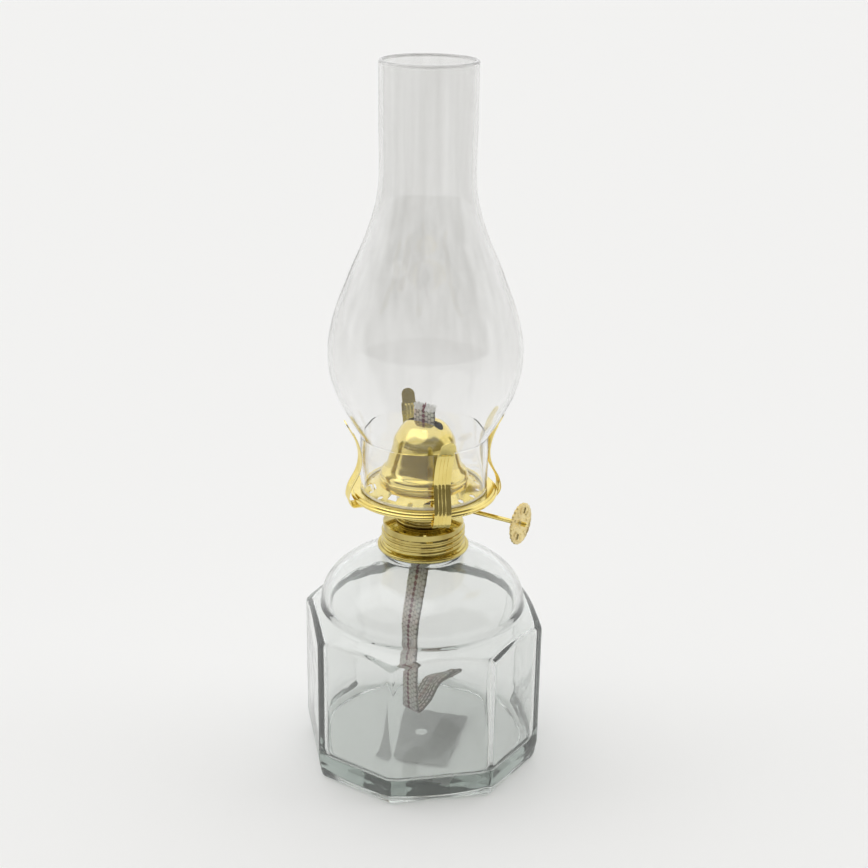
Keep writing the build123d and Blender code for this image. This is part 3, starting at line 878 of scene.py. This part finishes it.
CHIMNEY_WALL = 1.8 * MM
END_SUPPORT = 1.5                 # a short last step at each end keeps the long walls smooth
PAINTED_HIGHLIGHT_CLEARNESS = 0.45             # painted highlight: the rim and foot edges let less light through and show pale
chimney_low, chimney_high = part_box("chimney")
foot = chimney_low.z / MM
top = chimney_high.z / MM
belly = [(30.2, 168), (36.7, 179.2), (42.6, 192), (45.15, 207), (43.3, 222), (35.6, 244),
         (26.6, 266), (22.4, 282), (21.7, 296), (22, 312)]
deselect_all()
bpy.ops.curve.primitive_bezier_curve_add()
outline = bpy.context.object
spline = outline.data.splines[0]
spline.bezier_points.add(len(belly) - 2)
for point, (radius, height) in zip(spline.bezier_points, belly):
    point.co = (radius * MM, 0, height * MM)
    point.handle_left_type = "AUTO"
    point.handle_right_type = "AUTO"
outline.data.resolution_u = 14
outline.data.update_tag()
bpy.context.view_layer.update()
bpy.ops.object.convert(target="MESH")
chimney = bpy.context.object
chimney.name = "chimney_glass_body"
chimney.matrix_world = Matrix.Identity(4)
bpy.ops.object.mode_set(mode="EDIT")
to_foot = (3, 20, belly[0][1] - foot - 3 - 20 - END_SUPPORT, END_SUPPORT)
to_rim = (4, 20, top - belly[-1][1] - 4 - 20 - END_SUPPORT, END_SUPPORT)
for way, rises in ((-1, to_foot), (1, to_rim)):
    bpy.ops.mesh.select_all(action="DESELECT")
    mesh = bmesh.from_edit_mesh(chimney.data)
    for vertex in mesh.verts:
        vertex.select_set(len(vertex.link_edges) == 1 and way * (vertex.co.z - 200 * MM) > 0)
    bmesh.update_edit_mesh(chimney.data)
    for rise in rises:
        bpy.ops.mesh.extrude_region_move(
            TRANSFORM_OT_translate={"value": (0, 0, way * rise * MM)})
bpy.ops.mesh.select_all(action="SELECT")
bpy.ops.mesh.spin(steps=144, angle=2 * math.pi, center=(0, 0, 0), axis=(0, 0, 1))
bpy.ops.mesh.select_all(action="SELECT")
bpy.ops.mesh.remove_doubles(threshold=1e-6)
bpy.ops.mesh.normals_make_consistent(inside=False)
bpy.ops.object.mode_set(mode="OBJECT")
finish_with(chimney, "SOLIDIFY", thickness=CHIMNEY_WALL, offset=-1)
finish_with(chimney, "BEVEL", width=0.7 * MM, segments=3, limit_method="ANGLE",
            angle_limit=math.radians(60))
smooth(chimney, 25)

chimney_glass, shader, add, link = glass_material(
    "chimney_glass_blown", tint=(0.95, 0.95, 0.945, 1), wave_scale=22, wave_height=0.6 * MM)
place = add("ShaderNodeTexCoord")
drawn_out = add("ShaderNodeMapping", Scale=(1, 1, 0.05))
link(place.outputs["Object"], drawn_out.inputs["Vector"])
streaks = add("ShaderNodeTexNoise", Scale=190.0, Detail=3.0)
link(drawn_out.outputs["Vector"], streaks.inputs["Vector"])
tone = two_tone(add, (0.84, 0.84, 0.832, 1), (0.91, 0.91, 0.905, 1), 0.35, 0.65)
link(streaks.outputs["Fac"], tone.inputs["Fac"])
axes = add("ShaderNodeSeparateXYZ")
link(place.outputs["Object"], axes.inputs["Vector"])
above_foot = add("ShaderNodeMapRange", From_Min=185 * MM, From_Max=235 * MM)
link(axes.outputs["Z"], above_foot.inputs["Value"])
smoked = add("ShaderNodeMixRGB", Color1=(0.955, 0.955, 0.95, 1))
link(above_foot.outputs["Result"], smoked.inputs["Fac"])
link(tone.outputs["Color"], smoked.inputs["Color2"])
link(smoked.outputs["Color"], shader.inputs["Base Color"])
# Painted highlight: the glass lets less light through near the rim and the foot, so both edges show pale.
rim_painted_highlight = add("ShaderNodeMapRange", From_Min=chimney_high.z - 1.6 * MM,
             From_Max=chimney_high.z - 0.8 * MM, To_Min=1.0, To_Max=PAINTED_HIGHLIGHT_CLEARNESS)
link(axes.outputs["Z"], rim_painted_highlight.inputs["Value"])
foot_painted_highlight = add("ShaderNodeMapRange", From_Min=chimney_low.z + 0.8 * MM,
              From_Max=chimney_low.z + 1.6 * MM, To_Min=PAINTED_HIGHLIGHT_CLEARNESS, To_Max=1.0)
link(axes.outputs["Z"], foot_painted_highlight.inputs["Value"])
link(math_node("MINIMUM", rim_painted_highlight.outputs["Result"], foot_painted_highlight.outputs["Result"]),
     shader.inputs["Transmission Weight"])
chimney.data.materials.clear()
chimney.data.materials.append(chimney_glass)
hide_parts("chimney")
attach(chimney, "chimney")
